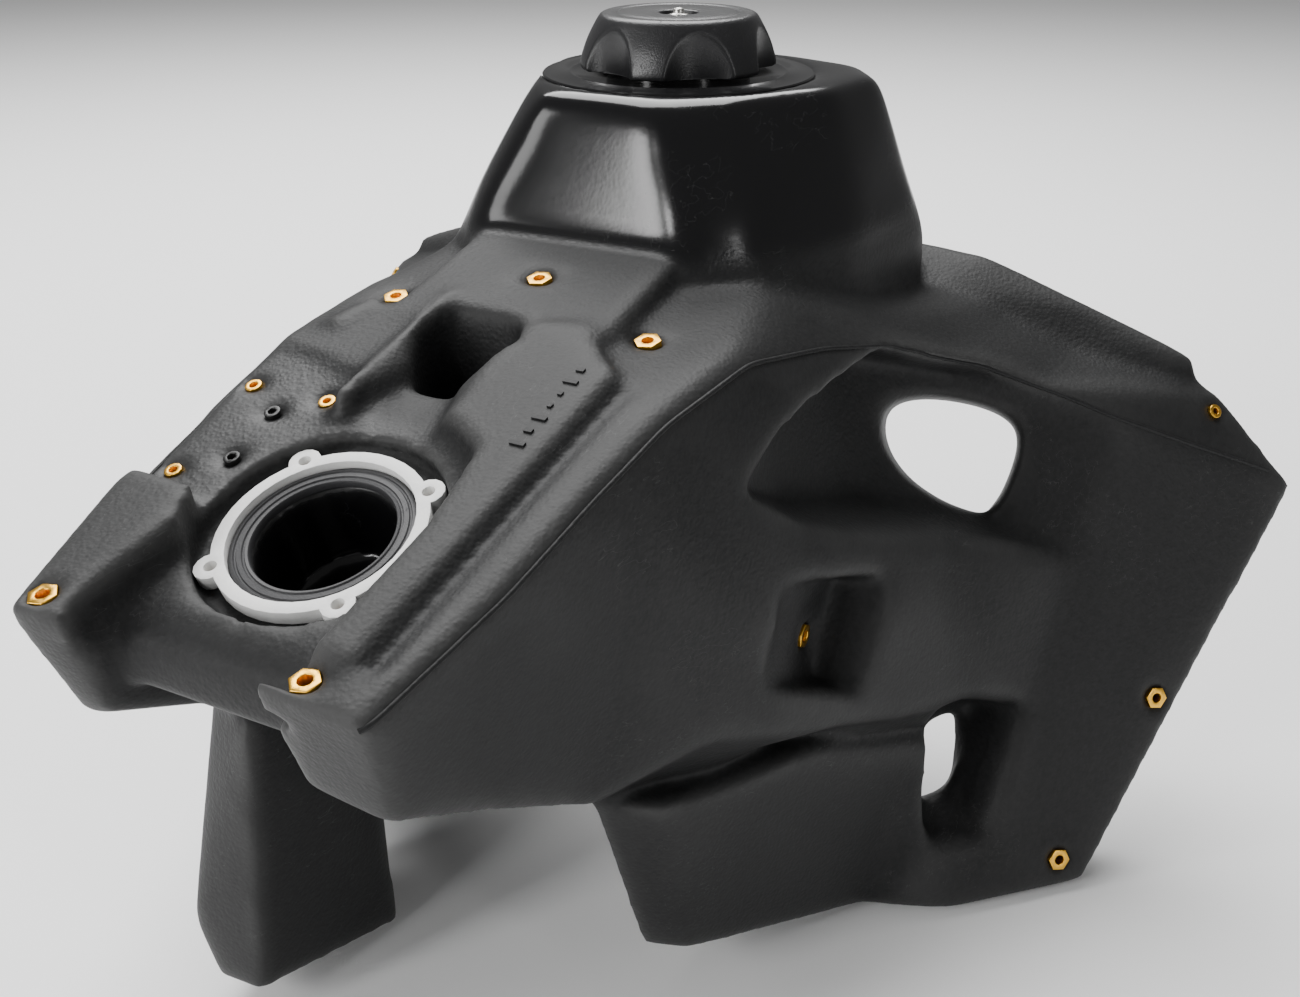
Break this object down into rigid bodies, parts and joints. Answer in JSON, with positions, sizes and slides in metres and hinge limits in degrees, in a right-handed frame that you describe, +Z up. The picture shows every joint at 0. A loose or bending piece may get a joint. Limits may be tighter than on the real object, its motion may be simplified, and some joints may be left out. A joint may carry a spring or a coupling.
{
  "type": "motorcycle fuel tank",
  "caption": "Large saddle-shaped moulded plastic fuel tank with side wings around the radiators, a screw filler cap, a rear pump opening and brass mounting inserts.",
  "frame": {"origin": "on the surface that the tank stands on, under the middle of its bounding box", "axes": "+X to the front of the motorcycle, +Y to its left, +Z up along the filler axis"},
  "size_m": [0.5098, 0.6, 0.4125],
  "materials": {
    "tank_plastic": "black moulded polyethylene, grained with smooth glossy areas",
    "cap_plastic": "black moulded nylon, satin",
    "white_plastic": "natural white plastic, satin",
    "rubber": "black rubber, dull",
    "brass": "turned brass",
    "steel": "plated steel",
    "dark_steel": "black oxide"
  },
  "bodies": {
    "tank": {"tank_shell": "tank_plastic", "filler_neck": "tank_plastic", "pump_ring": "white_plastic", "pump_seal": "rubber", "plug_screw_1": "dark_steel", "plug_screw_2": "dark_steel", "rear_insert_right": "brass", "rear_insert_left": "brass", "middle_insert_right": "brass", "middle_insert_left": "brass", "centre_insert": "brass", "plate_insert_rear": "brass", "plate_insert_outer": "brass", "plate_insert_inner": "brass", "pocket_insert_right": "brass", "wing_insert_upper_right": "brass", "wing_insert_lower_right": "brass", "wing_insert_top_right": "brass", "pocket_insert_left": "brass", "wing_insert_upper_left": "brass", "wing_insert_lower_left": "brass", "wing_insert_top_left": "brass", "pump_insert_1": "brass", "pump_insert_2": "brass", "pump_insert_3": "brass", "pump_insert_4": "brass"},
    "cap_gasket": {"cap_gasket": "rubber"},
    "cap": {"cap_grip": "cap_plastic", "cap_plug": "cap_plastic", "vent_fitting": "steel", "vent_nut": "steel"}
  },
  "joints": [
    {"name": "cap_rise", "type": "slide", "parent": "tank", "child": "cap_gasket", "axis": [0, 0, 1], "range_m": [0, 0.0211]},
    {"name": "cap_turn", "type": "hinge", "parent": "cap_gasket", "child": "cap", "pos_m": [0.11313, 0, 0.39682], "axis": [0, 0, 1], "range_deg": [0, 1260]}
  ],
  "couplings": [
    {"joint": "cap_rise", "follows": "cap_turn", "m_per_rad": 0.00095493}
  ]
}
